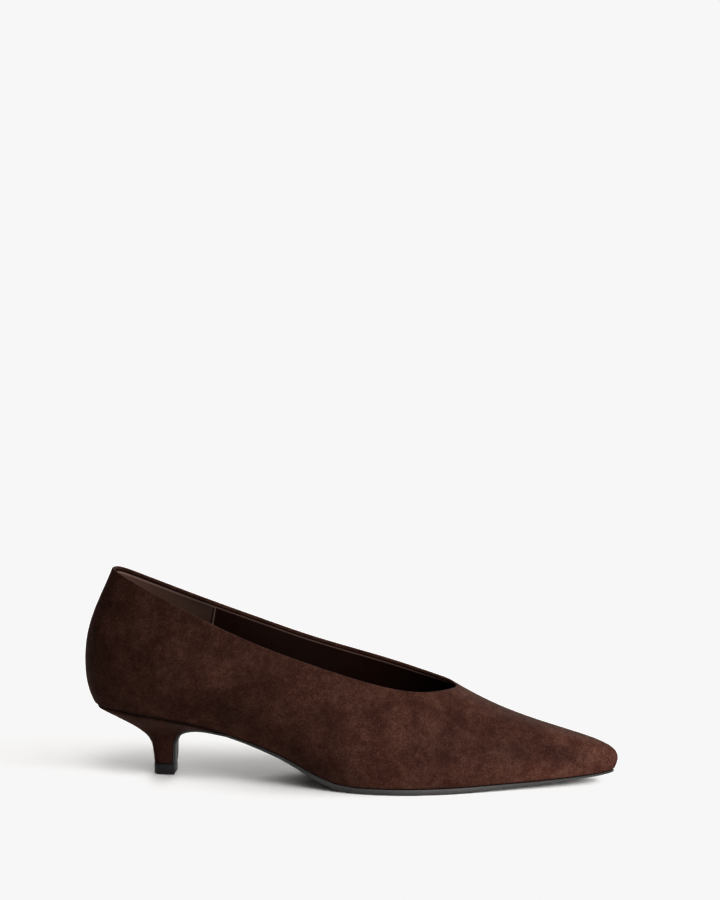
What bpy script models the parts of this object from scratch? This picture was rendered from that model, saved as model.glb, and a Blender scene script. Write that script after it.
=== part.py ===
"""Pointed pump with a kitten heel: a right shoe, empty, standing on its heel and its forefoot.

The pieces are those that a shoemaker puts together: upper, insole, outsole, heel and top lift.
Working units are millimetres. x runs forward from the back of the heel, y to the wearer's left and
z up from the floor, so the outer (lateral) side of this right shoe is at -y. The tables give places
as percentages of the driving sizes, and the finished meshes are in metres.
"""

from collections import namedtuple

import bmesh
import bpy
import numpy as np

MM = 0.001
PERCENT = 0.01

# Driving sizes
SHOE_LENGTH = 260.0
BALL_WIDTH = 75.0
HEEL_RISE = 32.8
TOE_SPRING = 3.0
THROAT_HEIGHT = 46.4
BACK_HEIGHT = 102.2
WALL = 1.8
SOLE_THICK = 2.8
INSOLE_THICK = 2.2
LIFT_HEIGHT = 5.4
GAP = 0.3

# Middle of the shoe's width, which the origin lies under
CENTRE_Y = -0.25

# Distance of each piece inside the feather edge, the line where the upper meets the sole
SOLE_INSET = 0.3
HEEL_INSET = 0.5
INSOLE_INSET = WALL + 0.45

# Underside of the last. x is a percentage of the length, heel of the heel's rise and toe of the toe's
# spring. Between the two rows with neither, the forefoot is flat.
BottomRow = namedtuple("BottomRow", "x heel toe")
LAST_BOTTOM = [
    BottomRow(0.0, 100.0, 0.0),
    BottomRow(4.6, 99.7, 0.0),
    BottomRow(9.6, 96.0, 0.0),
    BottomRow(15.4, 89.0, 0.0),
    BottomRow(20.8, 81.1, 0.0),
    BottomRow(26.2, 69.8, 0.0),
    BottomRow(31.5, 56.1, 0.0),
    BottomRow(38.5, 35.7, 0.0),
    BottomRow(44.2, 13.7, 0.0),
    BottomRow(48.1, 3.4, 0.0),
    BottomRow(52.3, 0.0, 0.0),
    BottomRow(69.2, 0.0, 0.0),
    BottomRow(80.4, 0.0, 19.0),
    BottomRow(85.8, 0.0, 35.0),
    BottomRow(92.3, 0.0, 65.0),
    BottomRow(100.0, 0.0, 100.0),
]

# Outsole. x is a percentage of the length, edge of the sole's thickness, and crown is how many
# millimetres fuller the sole is along its middle.
SoleRow = namedtuple("SoleRow", "x edge crown")
SOLE = [
    SoleRow(24.6, 32.0, 0.7),
    SoleRow(30.0, 36.0, 1.0),
    SoleRow(35.4, 50.0, 0.9),
    SoleRow(41.5, 61.0, 0.6),
    SoleRow(48.1, 93.0, 0.2),
    SoleRow(52.3, 100.0, 0.0),
    SoleRow(69.2, 100.0, 0.0),
    SoleRow(80.4, 62.0, 0.0),
    SoleRow(85.8, 44.0, 0.0),
    SoleRow(92.3, 36.0, 0.0),
    SoleRow(100.0, 34.0, 0.0),
]
SOLE_BEVEL = 0.7

# Along the waist the sole tucks under the upper, by WAIST_TUCK behind TUCK_END
WAIST_TUCK = 0.5
TUCK_END = 125.0
TUCK_RUN = 20.0

# Sections of the upper, from the middle of the back round each side to the middle of the toe. A section
# starts on the feather edge, swells out to a knuckle and ends on the topline.
#   x, lateral, medial: the feather edge, as percentages of the length and of the ball's width
#   flare: the wall's angle there, outward from upright, in degrees
#   swell, rise: the knuckle, millimetres out from the feather edge and above it
#   top_x, top_lateral, top_medial: the topline, as percentages like the feather edge
#   z_lateral, z_medial: its height, as a percentage of the way from the throat up to the back
#   lean: the wall's angle at the topline, inward from upright, in degrees
#   low, high: pulls of the curve above the knuckle and below the topline, as shares of its chord
Section = namedtuple(
    "Section",
    "name x lateral medial flare swell rise top_x top_lateral top_medial z_lateral z_medial lean low high",
)
UPPER = [
    Section("back", 1.7, 0.0, 0.0, 25, 4.4, 21.0, 5.3, 0.0, 0.0, 100.0, 100.0, 22, 0.40, 0.38),
    Section("counter", 3.5, 20.0, 19.7, 25, 4.3, 21.0, 6.5, 12.5, 12.5, 98.6, 97.1, 21, 0.40, 0.38),
    Section("heel", 8.3, 30.5, 30.0, 22, 4.4, 20.0, 10.5, 20.0, 20.0, 90.0, 88.4, 20, 0.40, 0.36),
    Section("seat", 17.7, 33.7, 32.8, 20, 4.0, 18.0, 19.6, 28.9, 28.9, 70.3, 69.7, 14, 0.38, 0.36),
    Section("waist", 30.8, 31.5, 27.5, 24, 5.4, 19.0, 31.5, 34.1, 34.1, 45.7, 48.4, 8, 0.36, 0.36),
    Section("instep", 43.5, 39.2, 33.9, 22, 4.4, 15.0, 43.1, 36.9, 37.1, 26.7, 29.7, 10, 0.36, 0.36),
    Section("ball", 56.2, 49.6, 46.4, 14, 2.2, 10.0, 55.4, 36.9, 37.3, 9.7, 13.8, 24, 0.36, 0.36),
    Section("vamp", 67.3, 46.1, 48.8, 12, 1.8, 9.0, 62.7, 30.1, 30.7, 2.2, 5.2, 38, 0.30, 0.42),
    Section("forepart", 77.7, 34.9, 39.5, 12, 1.6, 8.2, 67.0, 19.5, 19.7, 0.5, 1.8, 52, 0.18, 0.50),
    Section("toe_side", 87.3, 24.3, 25.9, 12, 1.6, 7.8, 69.0, 10.1, 10.3, 0.0, 0.4, 58, 0.14, 0.54),
    Section("toe_shoulder", 95.0, 14.0, 14.3, 14, 1.6, 6.9, 69.7, 4.3, 4.3, -0.2, -0.2, 59, 0.14, 0.55),
    Section("toe_corner", 98.3, 6.2, 6.2, 16, 1.6, 6.3, 69.9, 1.6, 1.6, 0.0, 0.0, 59, 0.138, 0.55),
    Section("toe", 99.4, 0.0, 0.0, 16, 1.6, 5.9, 69.9, 0.0, 0.0, 0.0, 0.0, 59, 0.135, 0.55),
]
# Pulls of the short curve below the knuckle, as a share of the knuckle's rise
KNUCKLE_PULL = 0.4

# Rings of the heel block from its foot to its seat. back_x and front_x are millimetres from the back of
# the shoe, half is the half width, and back_z and front_z are percentages of the block's height.
HeelRow = namedtuple("HeelRow", "back_x back_z front_x front_z half")
HEEL = [
    HeelRow(33.4, 0.0, 42.6, 0.0, 5.5),
    HeelRow(32.9, 14.4, 42.95, 14.4, 5.6),
    HeelRow(32.2, 30.4, 43.0, 29.0, 6.1),
    HeelRow(30.3, 43.5, 44.5, 43.5, 7.8),
    HeelRow(26.6, 56.9, 46.6, 58.5, 11.2),
    HeelRow(19.0, 70.2, 51.0, 68.3, 16.5),
    HeelRow(10.2, 83.3, 57.0, 72.0, 21.5),
    HeelRow(4.9, 98.0, 64.0, 69.9, 24.4),
]
# The seat ends in a lip this thick. The rings turn from a D into the seat's outline from this row on.
SEAT_LIP = 0.5
SEAT_BLEND_ROW = 3

# A D-shaped ring is rounded over this share of its length, with this roundness (2 is an ellipse)
ROUND_SHARE = 0.45
ROUND_POWER = 2.3

# Flap of the sole that covers the heel's breast, and the clear run of sole in front of the seat's lip
FLAP_THICK = 1.3
FLAP_INSET = 0.4
FLAP_BEVEL = 0.3
SOLE_CLEAR = 3.0

# Top lift, flush with the heel's back and with the flap
LIFT_BACK = 33.2
LIFT_FRONT = 43.9
LIFT_HALF = 5.7
LIFT_BEVEL = 0.5
LIFT_BEVEL_STEPS = 2

# Mesh density. The upper's columns crowd towards the toe and the back, and a ring's points towards its back.
SIDE_COLUMNS = 44
COLUMN_CROWD = 0.55
LOW_ROWS = 4
HIGH_ROWS = 11
ACROSS = 8
RING_SIDE = 14
RING_CROWD = 0.7
RING_FRONT = 4
HEEL_RINGS = 20
TIP_HALF = 0.6
SHARP_ANGLE = 40

UP = np.array([0.0, 0.0, 1.0])


def unit(vectors):
    """The same vectors at length 1."""
    return vectors / np.linalg.norm(vectors, axis=-1, keepdims=True)


def ease(share):
    """A share from 0 to 1 that starts and ends gently."""
    share = np.clip(share, 0, 1)
    return share**2 * (3 - 2 * share)


def hermite(start, end, start_slope, end_slope, t):
    """Points on the cubic curve with these ends and end slopes."""
    return (
        start * (1 + 2 * t) * (1 - t) ** 2
        + end * t**2 * (3 - 2 * t)
        + start_slope * t * (1 - t) ** 2
        + end_slope * t**2 * (t - 1)
    )


def bezier(p0, p1, p2, p3, t):
    """Points on a cubic curve, one row for each t."""
    t = t[:, None, None]
    return p0 * (1 - t) ** 3 + 3 * p1 * t * (1 - t) ** 2 + 3 * p2 * t**2 * (1 - t) + p3 * t**3


def smooth_curve(x, y):
    """A smooth function through the points (x, y), with no overshoot between them."""
    x, y = np.array(x, float), np.array(y, float)
    step = np.diff(y) / np.diff(x)
    slope = np.zeros(len(x))
    slope[0], slope[-1] = step[0], step[-1]
    for i in range(1, len(x) - 1):
        if step[i - 1] * step[i] > 0:
            slope[i] = 2 * step[i - 1] * step[i] / (step[i - 1] + step[i])

    def value(at):
        at = np.clip(at, x[0], x[-1])
        i = np.clip(np.searchsorted(x, at) - 1, 0, len(x) - 2)
        width = x[i + 1] - x[i]
        return hermite(y[i], y[i + 1], width * slope[i], width * slope[i + 1], (at - x[i]) / width)

    return value


def length_curve(rows, field):
    """One column of a table as a smooth function of x in millimetres."""
    x = [row.x * PERCENT * SHOE_LENGTH for row in rows]
    return smooth_curve(x, [getattr(row, field) for row in rows])


heel_share = length_curve(LAST_BOTTOM, "heel")
toe_share = length_curve(LAST_BOTTOM, "toe")
edge_share = length_curve(SOLE, "edge")
sole_crown = length_curve(SOLE, "crown")


def last_bottom(x):
    """Height of the last's underside, which is also the feather edge's height."""
    rise = heel_share(x) * PERCENT * HEEL_RISE + toe_share(x) * PERCENT * TOE_SPRING
    return SOLE_THICK + GAP + rise


def sole_edge(x):
    """Thickness of the outsole at its edge."""
    return edge_share(x) * PERCENT * SOLE_THICK


def closed_spline(points, knots, at):
    """Cubic spline round a closed ring of points, read at the parameters in at."""
    count = len(points)
    span = np.diff(knots)
    slope = (np.roll(points, -1, axis=0) - points) / span[:, None]
    matrix = np.zeros((count, count))
    right = np.zeros_like(points)
    for i in range(count):
        before, after = span[i - 1], span[i]
        matrix[i, i - 1] = after
        matrix[i, i] = 2 * (before + after)
        matrix[i, (i + 1) % count] = before
        right[i] = 3 * (after * slope[i - 1] + before * slope[i])
    tangent = np.linalg.solve(matrix, right)
    i = np.clip(np.searchsorted(knots, at, side="right") - 1, 0, count - 1)
    j = (i + 1) % count
    width = span[i][:, None]
    t = (at - knots[i])[:, None] / width
    return hermite(points[i], points[j], width * tangent[i], width * tangent[j], t)


def section_ring():
    """The upper's sections in order round the shoe: back, lateral side, toe, medial side.

    Each one comes as (section, feather edge's y, topline's y, topline's height percentage).
    """
    lateral = [(row, -row.lateral, -row.top_lateral, row.z_lateral) for row in UPPER]
    medial = [(row, row.medial, row.top_medial, row.z_medial) for row in UPPER[-2:0:-1]]
    return lateral + medial


def section_controls():
    """Seven control points for each section: feather edge, two pulls, knuckle, two pulls, topline."""
    ring = section_ring()
    long, wide = SHOE_LENGTH * PERCENT, BALL_WIDTH * PERCENT
    tall = (BACK_HEIGHT - THROAT_HEIGHT) * PERCENT

    def column(field):
        return np.array([getattr(row, field) for row, _, _, _ in ring], float)[:, None]

    feather = np.array([(row.x * long, y * wide, last_bottom(row.x * long)) for row, y, _, _ in ring])
    topline = np.array([(row.top_x * long, y * wide, THROAT_HEIGHT + z * tall) for row, _, y, z in ring])
    along = np.roll(feather, -1, axis=0) - np.roll(feather, 1, axis=0)
    outward = unit(np.cross(along * (1, 1, 0), UP))
    knuckle = feather + outward * column("swell") + UP * column("rise")
    inward = unit((topline - knuckle) * (1, 1, 0))
    chord = np.linalg.norm(topline - knuckle, axis=1, keepdims=True)
    pull = KNUCKLE_PULL * column("rise")
    flare, lean = np.radians(column("flare")), np.radians(column("lean"))
    return [
        feather,
        feather + pull * (outward * np.sin(flare) + UP * np.cos(flare)),
        knuckle - pull * UP,
        knuckle,
        knuckle + column("low") * chord * UP,
        topline - column("high") * chord * (UP * np.cos(lean) + inward * np.sin(lean)),
        topline,
    ]


def upper_surface():
    """Outer face of the upper as rows of points, from the feather edge up to the topline.

    The columns run round the shoe from the middle of the back, so column j faces column -j.
    """
    controls = section_controls()
    reach = [np.linalg.norm(np.roll(ring, -1, axis=0) - ring, axis=1) for ring in (controls[0], controls[3])]
    knots = np.concatenate([[0.0], np.cumsum(sum(reach) / 2)])
    toe = knots[len(UPPER) - 1]
    share = np.arange(SIDE_COLUMNS) / SIDE_COLUMNS
    share = share - np.sin(2 * np.pi * share) / (2 * np.pi) * COLUMN_CROWD
    at = np.concatenate([toe * share, toe + (knots[-1] - toe) * share])
    feather = closed_spline(controls[0], knots, at)
    offsets = [closed_spline(control - controls[0], knots, at) for control in controls[:5]]
    feather[:, 2] = last_bottom(feather[:, 0])
    rings = [feather + offset for offset in offsets]
    rings += [closed_spline(control, knots, at) for control in controls[5:]]
    low = bezier(*rings[:4], np.linspace(0, 1, LOW_ROWS + 1))
    high = bezier(*rings[3:], np.linspace(0, 1, HIGH_ROWS + 1))
    return np.concatenate([low, high[1:]])


def feather_ring(inset):
    """The feather edge as a closed ring of (x, y), moved inward by inset."""
    ring = upper_surface()[0][:, :2]
    along = unit(np.roll(ring, -1, axis=0) - np.roll(ring, 1, axis=0))
    return ring + inset * np.stack([-along[:, 1], along[:, 0]], axis=1)


def feather_pairs(inset):
    """Facing points of the feather ring, (lateral, medial), from the toe to the back.

    The two ends of the ring become short lines, so that a loft can be capped there.
    """
    ring = feather_ring(inset)
    pairs = []
    for j in range(SIDE_COLUMNS, -1, -1):
        apart = np.array([0.0, TIP_HALF if j in (0, SIDE_COLUMNS) else 0.0])
        pairs.append((ring[j] - apart, ring[-j] + apart))
    return pairs


def flat_section(lateral, medial, normal, edge, crown, bevel):
    """A closed loop across the foot: straight above, crowned below, with its lower corners cut back.

    lateral and medial are the ends of the straight line, and normal is the (x, z) way down from it.
    """
    share = np.linspace(0, 1, ACROSS + 1)[:, None]
    width = np.linalg.norm(medial - lateral)
    cut = min(bevel, TIP_HALF / 2) / width
    low_share = cut + share * (1 - 2 * cut)
    depth = edge + 4 * crown * share * (1 - share)
    above = lateral * (1 - share) + medial * share
    below = lateral * (1 - low_share) + medial * low_share + depth * np.array([normal[0], 0.0, normal[1]])
    return np.concatenate([above, below[::-1]])


def d_ring(back, front, half):
    """A D-shaped ring: round at the back, straight across the front. back and front are (x, z)."""
    share = 1 - np.linspace(0, 1, RING_SIDE + 1) ** RING_CROWD
    bend = np.clip(1 - share / ROUND_SHARE, 0, 1)
    wide = half * (1 - bend**ROUND_POWER) ** (1 / ROUND_POWER)
    x = back[0] + (front[0] - back[0]) * share
    z = back[1] + (front[1] - back[1]) * share
    lateral = np.stack([x, -wide, z], axis=1)
    medial = lateral[-2::-1] * (1, -1, 1)
    across = np.linspace(half, -half, RING_FRONT + 1)[1:-1]
    straight = np.stack([np.full_like(across, front[0]), across, np.full_like(across, front[1])], axis=1)
    return np.concatenate([lateral, medial, straight])


def seat_ring():
    """The heel's top ring, which has the feather edge's own outline and lies a gap under the upper."""
    ring = feather_ring(HEEL_INSET)
    front = HEEL[-1].front_x
    share = 1 - np.linspace(0, 1, RING_SIDE + 1) ** RING_CROWD
    x = ring[0, 0] + (front - ring[0, 0]) * share
    halves = ring[: SIDE_COLUMNS + 1], np.concatenate([ring[:1], ring[: SIDE_COLUMNS - 1 : -1]])
    lateral, medial = (np.stack([x, np.interp(x, *half.T)], axis=1) for half in halves)
    across = np.linspace(medial[0, 1], lateral[0, 1], RING_FRONT + 1)[1:-1]
    straight = np.stack([np.full_like(across, front), across], axis=1)
    outline = np.concatenate([lateral, medial[-2::-1], straight])
    return np.column_stack([outline, last_bottom(outline[:, 0]) - GAP])


def heel_rings():
    """Rings up the heel's side, from its foot to the lower edge of its lip."""
    rows = np.arange(len(HEEL))
    curves = {field: smooth_curve(rows, [getattr(row, field) for row in HEEL]) for field in HeelRow._fields}
    foot = LIFT_HEIGHT + GAP
    tall = (last_bottom(0.0) - GAP - foot) * PERCENT
    lip = seat_ring() - SEAT_LIP * UP
    rings = []
    for at in np.linspace(0, rows[-1], HEEL_RINGS):
        back_x, back_z, front_x, front_z, half = (curves[field](at) for field in HeelRow._fields)
        ring = d_ring((back_x, foot + back_z * tall), (front_x, foot + front_z * tall), half)
        blend = ease((at - SEAT_BLEND_ROW) / (rows[-1] - SEAT_BLEND_ROW))
        rings.append(ring * (1 - blend) + lip * blend)
    return rings


def sole_sections():
    """Sections of the sole from the toe back to the waist, in front of the seat's lip."""
    sections = []
    for lateral, medial in feather_pairs(SOLE_INSET):
        x = (lateral[0] + medial[0]) / 2
        if x < HEEL[-1].front_x + SOLE_CLEAR:
            break
        tuck = np.array([0.0, WAIST_TUCK * np.clip((TUCK_END - x) / TUCK_RUN, 0, 1)])
        ends = [np.append(end, last_bottom(end[0]) - GAP) for end in (lateral + tuck, medial - tuck)]
        normal = unit(np.array([last_bottom(x + 1) - last_bottom(x - 1), -2.0]))
        sections.append(flat_section(*ends, normal, sole_edge(x), sole_crown(x), SOLE_BEVEL))
    return sections


def flap_sections():
    """Sections of the flap from the seat's lip down the heel's breast to its foot."""
    breast = np.array([(ring[0], ring[2 * RING_SIDE]) for ring in heel_rings()])
    along = np.gradient(breast.mean(axis=1)[:, [0, 2]], axis=0)
    normals = unit(np.stack([along[:, 1], -along[:, 0]], axis=1))
    narrow = np.array([[0.0, FLAP_INSET, 0.0], [0.0, -FLAP_INSET, 0.0]])
    sections = []
    for ends, normal, share in zip(breast, normals, np.linspace(0, 1, HEEL_RINGS)):
        x = ends[0, 0]
        ends = ends + narrow + GAP * np.array([normal[0], 0.0, normal[1]])
        edge = FLAP_THICK + (sole_edge(x) - FLAP_THICK) * share
        sections.append(flat_section(*ends, normal, edge, sole_crown(x) * share, FLAP_BEVEL))
    return sections[::-1]


def skin(rings):
    """Quads between neighbouring closed rings of equal length, as (points, faces)."""
    rings = np.asarray(rings)
    rows, columns = rings.shape[:2]
    index = np.arange(rows * columns).reshape(rows, columns)
    after = np.roll(index, -1, axis=1)
    corners = index[:-1], after[:-1], after[1:], index[1:]
    return rings.reshape(-1, 3), np.stack(corners, axis=-1).reshape(-1, 4).tolist()


def make_object(name, points, faces, material, collection):
    """A mesh object in metres, with the origin on the floor under the middle of the shoe."""
    mesh = bpy.data.meshes.new(name)
    mesh.from_pydata(((points - (SHOE_LENGTH / 2, CENTRE_Y, 0.0)) * MM).tolist(), [], faces)
    turned = bmesh.new()
    turned.from_mesh(mesh)
    bmesh.ops.recalc_face_normals(turned, faces=turned.faces)
    turned.to_mesh(mesh)
    turned.free()
    mesh.shade_smooth()
    mesh.set_sharp_from_angle(angle=np.radians(SHARP_ANGLE))
    mesh.materials.append(material)
    piece = bpy.data.objects.new(name, mesh)
    collection.objects.link(piece)
    return piece


def loft(name, rings, material, collection):
    """A solid through closed rings, with its two ends capped."""
    points, faces = skin(rings)
    end = np.arange(len(rings[0]))
    faces += [end.tolist(), (end + len(points) - len(end)).tolist()]
    return make_object(name, points, faces, material, collection)


def make_material(name, colour, roughness):
    """A plain finish with a linear base colour."""
    material = bpy.data.materials.new(name)
    material.use_nodes = True
    shader = material.node_tree.nodes["Principled BSDF"]
    shader.inputs["Base Color"].default_value = (*colour, 1.0)
    shader.inputs["Roughness"].default_value = roughness
    shader.inputs["Metallic"].default_value = 0.0
    return material


def make_upper(collection):
    """One wall round the foot, open at the topline and underneath."""
    suede = make_material("brown_suede", (0.045, 0.018, 0.012), 0.95)
    upper = make_object("upper", *skin(upper_surface()), suede, collection)
    wall = upper.modifiers.new("wall", "SOLIDIFY")
    wall.thickness = WALL * MM
    wall.offset = -1
    wall.use_even_offset = True


def make_insole(collection):
    """The sock inside the upper, along the whole foot."""
    sock = make_material("dark_brown_sock", (0.030, 0.016, 0.012), 0.6)
    sections = []
    for pair in feather_pairs(INSOLE_INSET):
        ends = [np.append(end, last_bottom(end[0]) + INSOLE_THICK) for end in pair]
        sections.append(flat_section(*ends, (0.0, -1.0), INSOLE_THICK, 0.0, 0.0))
    loft("insole", sections, sock, collection)


def make_outsole(collection):
    """The sole from the toe to the waist, in one with the flap that covers the heel's breast."""
    rubber = make_material("charcoal_sole", (0.035, 0.036, 0.037), 0.45)
    loft("outsole", sole_sections() + flap_sections(), rubber, collection)


def make_heel(collection):
    """The heel block: a slim foot that flares up to the seat and forward into a thin lip."""
    cover = make_material("brown_suede_heel_cover", (0.035, 0.014, 0.010), 0.95)
    loft("heel", heel_rings() + [seat_ring()], cover, collection)


def make_top_lift(collection):
    """The rubber block that the heel stands on."""
    rubber = make_material("black_lift", (0.014, 0.015, 0.016), 0.5)
    ring = d_ring((LIFT_BACK, 0.0), (LIFT_FRONT, 0.0), LIFT_HALF)
    lift = loft("top_lift", [ring, ring + LIFT_HEIGHT * UP], rubber, collection)
    bevel = lift.modifiers.new("soft_edges", "BEVEL")
    bevel.width = LIFT_BEVEL * MM
    bevel.segments = LIFT_BEVEL_STEPS
    bevel.limit_method = "ANGLE"
    bevel.angle_limit = np.radians(SHARP_ANGLE)


def main():
    """Clear the scene and build the five pieces."""
    for old in list(bpy.data.objects):
        bpy.data.objects.remove(old)
    collection = bpy.data.collections.new("pump_shoe")
    bpy.context.scene.collection.children.link(collection)
    for make in (make_upper, make_insole, make_outsole, make_heel, make_top_lift):
        make(collection)


main()
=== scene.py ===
"""A right pump in dark brown suede, with a pointed toe and a kitten heel, in a plain studio.

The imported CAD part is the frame. The suede and the linings are laid over the form of its upper, and the
sole, heel, sock and lift are softened copies of its nodes, so that only what the CAD leaves out has sizes
here. Names that end in mm are millimetres, and the meshes are metres in the frame's own axes: +X to the
toe, -Y to the lateral side and +Z up from the floor.
"""

import logging
from collections.abc import Iterable
from dataclasses import dataclass, field
from enum import Enum, IntEnum
from functools import cached_property

import bmesh
import bpy
import numpy as np
from mathutils import Matrix, Vector


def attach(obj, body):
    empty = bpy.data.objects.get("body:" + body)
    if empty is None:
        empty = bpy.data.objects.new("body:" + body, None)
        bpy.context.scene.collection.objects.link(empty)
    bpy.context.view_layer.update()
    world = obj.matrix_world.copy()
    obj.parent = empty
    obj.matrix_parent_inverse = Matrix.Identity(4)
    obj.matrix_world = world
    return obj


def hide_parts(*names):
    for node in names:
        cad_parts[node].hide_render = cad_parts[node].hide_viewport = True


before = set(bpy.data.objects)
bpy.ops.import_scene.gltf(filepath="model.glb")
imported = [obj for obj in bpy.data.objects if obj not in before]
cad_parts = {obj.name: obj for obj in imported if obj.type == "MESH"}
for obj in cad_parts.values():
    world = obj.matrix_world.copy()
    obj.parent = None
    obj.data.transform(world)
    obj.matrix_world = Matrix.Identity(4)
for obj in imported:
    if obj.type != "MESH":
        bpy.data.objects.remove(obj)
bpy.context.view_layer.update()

MM = 0.001
# Metres within which two vertices are one.
WELD = 1e-6
# Bend from which an edge of a mesh is an edge of the form.
SHARP_DEG = 40.0
# Bend and skew up to which two triangles join into one face.
FLAT_DEG = 25.0
SKEW_DEG = 60.0
# Steps from one CAD column to the next, for measuring along the topline.
FINE_STEPS = 16
# Share of the way round that one side takes up, short of the throat.
REAR_SHARE = 0.45
BODY = "root"
# Name of the attribute that holds a piece's patches, and its least value, which keeps some colour.
TONE = "tone"
DARKEST_TONE = -0.9
# Height of the slopes into the crevice below the topline.
CREVICE_EDGE_MM = 0.1
# Number of the curve that bends all three colours alike.
COMBINED_CURVE = 3

log = logging.getLogger("pump")

SHOE = bpy.data.collections.new("shoe")
bpy.context.scene.collection.children.link(SHOE)


class Side(Enum):
    """Sides of a right shoe, by the sign of y."""

    LATERAL = -1
    MEDIAL = 1


class LiningArea(IntEnum):
    """Areas of a lining, by the number of their material."""

    FACE = 0
    BORDER = 1
    SEAM = 2


def linear(code: str) -> tuple[float, float, float, float]:
    """Turns a colour as a screen shows it into the linear one that a shader takes.

    Args:
        code: Six hexadecimal digits, as in "4a2e26".

    Returns:
        Red, green, blue and an alpha of 1.
    """
    shown = np.array([int(code[i : i + 2], 16) / 255 for i in (0, 2, 4)])
    light = np.where(shown <= 0.04045, shown / 12.92, ((shown + 0.055) / 1.055) ** 2.4)
    return (*map(float, light), 1.0)


def add_node(
    tree: bpy.types.NodeTree, kind: str, inputs: dict[str | int, object] | None = None, **settings: object
) -> bpy.types.Node:
    """Adds a node, sets it up and fills its inputs.

    Args:
        tree: The tree that takes the node.
        kind: Blender's name of the node type.
        inputs: For an input's name or number, either the output to link to it or its value.
        **settings: The node's own properties.

    Returns:
        The new node.
    """
    node = tree.nodes.new(kind)
    for name, value in settings.items():
        setattr(node, name, value)
    for name, value in (inputs or {}).items():
        if isinstance(value, bpy.types.NodeSocket):
            tree.links.new(value, node.inputs[name])
        else:
            node.inputs[name].default_value = value
    return node


def new_material(name: str) -> tuple[bpy.types.Material, bpy.types.NodeTree, bpy.types.Node]:
    """Starts a material with nothing but a surface shader.

    Args:
        name: The real material's name.

    Returns:
        The material, its node tree and its shader.
    """
    material = bpy.data.materials.new(name)
    material.use_nodes = True
    return material, material.node_tree, material.node_tree.nodes["Principled BSDF"]


def toned(tree: bpy.types.NodeTree, colour: bpy.types.NodeSocket) -> bpy.types.NodeSocket:
    """Makes a colour darker or paler where the piece's tone attribute says so.

    Args:
        tree: The material's node tree.
        colour: The colour.

    Returns:
        The colour times one plus the tone, which is 0 on a piece without the attribute.
    """
    tone = add_node(tree, "ShaderNodeAttribute", attribute_name=TONE).outputs["Fac"]
    level = add_node(tree, "ShaderNodeMath", {0: tone, 1: 1.0}, operation="ADD").outputs[0]
    return add_node(
        tree, "ShaderNodeVectorMath", {0: colour, "Scale": level}, operation="SCALE"
    ).outputs[0]


@dataclass(frozen=True)
class Suede:
    """Split leather with a short brushed nap, which is clouded and flecked and has no gloss.

    Attributes:
        name: Name of the material.
        dark: Colour where the nap lies away from the light.
        light: Colour where it stands up.
        blotch_mm: Size of the clouds that handling leaves.
        mottle_mm: Size of the largest mottles, with finer ones inside them.
        fibre_mm: Size of the tufts.
        nap_height_mm: Height of the tufts.
        fleck: How much the pale tips stand out as flecks on a plainer ground, from 1 for evenly mottled.
        roughness: Its roughness.
        gloss: Strength of its reflections.
        sheen: How much the fibre tips catch light at the rim.
        tip: Colour of that light.
    """

    name: str = "brown_suede"
    dark: str = "311812"
    light: str = "55372d"
    blotch_mm: float = 12.0
    mottle_mm: float = 4.0
    # Real tufts are about 0.1 mm, too fine to show, so they are drawn coarser.
    fibre_mm: float = 0.8
    nap_height_mm: float = 0.15
    fleck: float = 1.7
    roughness: float = 0.8
    gloss: float = 0.055
    sheen: float = 0.06
    tip: str = "b08a78"

    def material(self) -> bpy.types.Material:
        """Makes the material: mottled colour, a fine nap and a soft sheen.

        Returns:
            The material.
        """
        material, tree, shader = new_material(self.name)
        place = add_node(tree, "ShaderNodeTexCoord").outputs["Object"]
        # Size, finer octaves, how strong these are, and share of the tone.
        layers = (
            (self.blotch_mm, 2.0, 0.5, 1.2),
            (self.mottle_mm, 3.0, 0.8, 1.4),
            (self.fibre_mm, 1.0, 0.8, 1.35),
        )
        tone, noises = 0.5 - sum(layer[3] for layer in layers) / 2, []
        for size, detail, roughness, share in layers:
            noise = add_node(
                tree,
                "ShaderNodeTexNoise",
                {"Vector": place, "Scale": 1 / (size * MM), "Detail": detail, "Roughness": roughness},
            ).outputs["Fac"]
            noises.append(noise)
            tone = add_node(
                tree, "ShaderNodeMath", {0: noise, 1: share, 2: tone}, operation="MULTIPLY_ADD"
            ).outputs[0]
        flecks = add_node(tree, "ShaderNodeMath", {0: tone, 1: self.fleck}, operation="POWER").outputs[0]
        colour = add_node(
            tree,
            "ShaderNodeMix",
            {0: flecks, 6: linear(self.dark), 7: linear(self.light)},
            data_type="RGBA",
        )
        bump = add_node(
            tree,
            "ShaderNodeBump",
            {"Height": noises[-1], "Strength": 0.6, "Distance": self.nap_height_mm * MM},
        )
        tree.links.new(toned(tree, colour.outputs[2]), shader.inputs["Base Color"])
        tree.links.new(bump.outputs[0], shader.inputs["Normal"])
        # To the eye: dry and soft, clouded by handling and flecked by the nap, with hardly any highlight
        # and only a faint bloom where the fibre tips are seen edge on.
        shader.inputs["Roughness"].default_value = self.roughness
        shader.inputs["Specular IOR Level"].default_value = self.gloss
        shader.inputs["Sheen Weight"].default_value = self.sheen
        shader.inputs["Sheen Roughness"].default_value = 0.5
        shader.inputs["Sheen Tint"].default_value = linear(self.tip)
        return material


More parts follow.
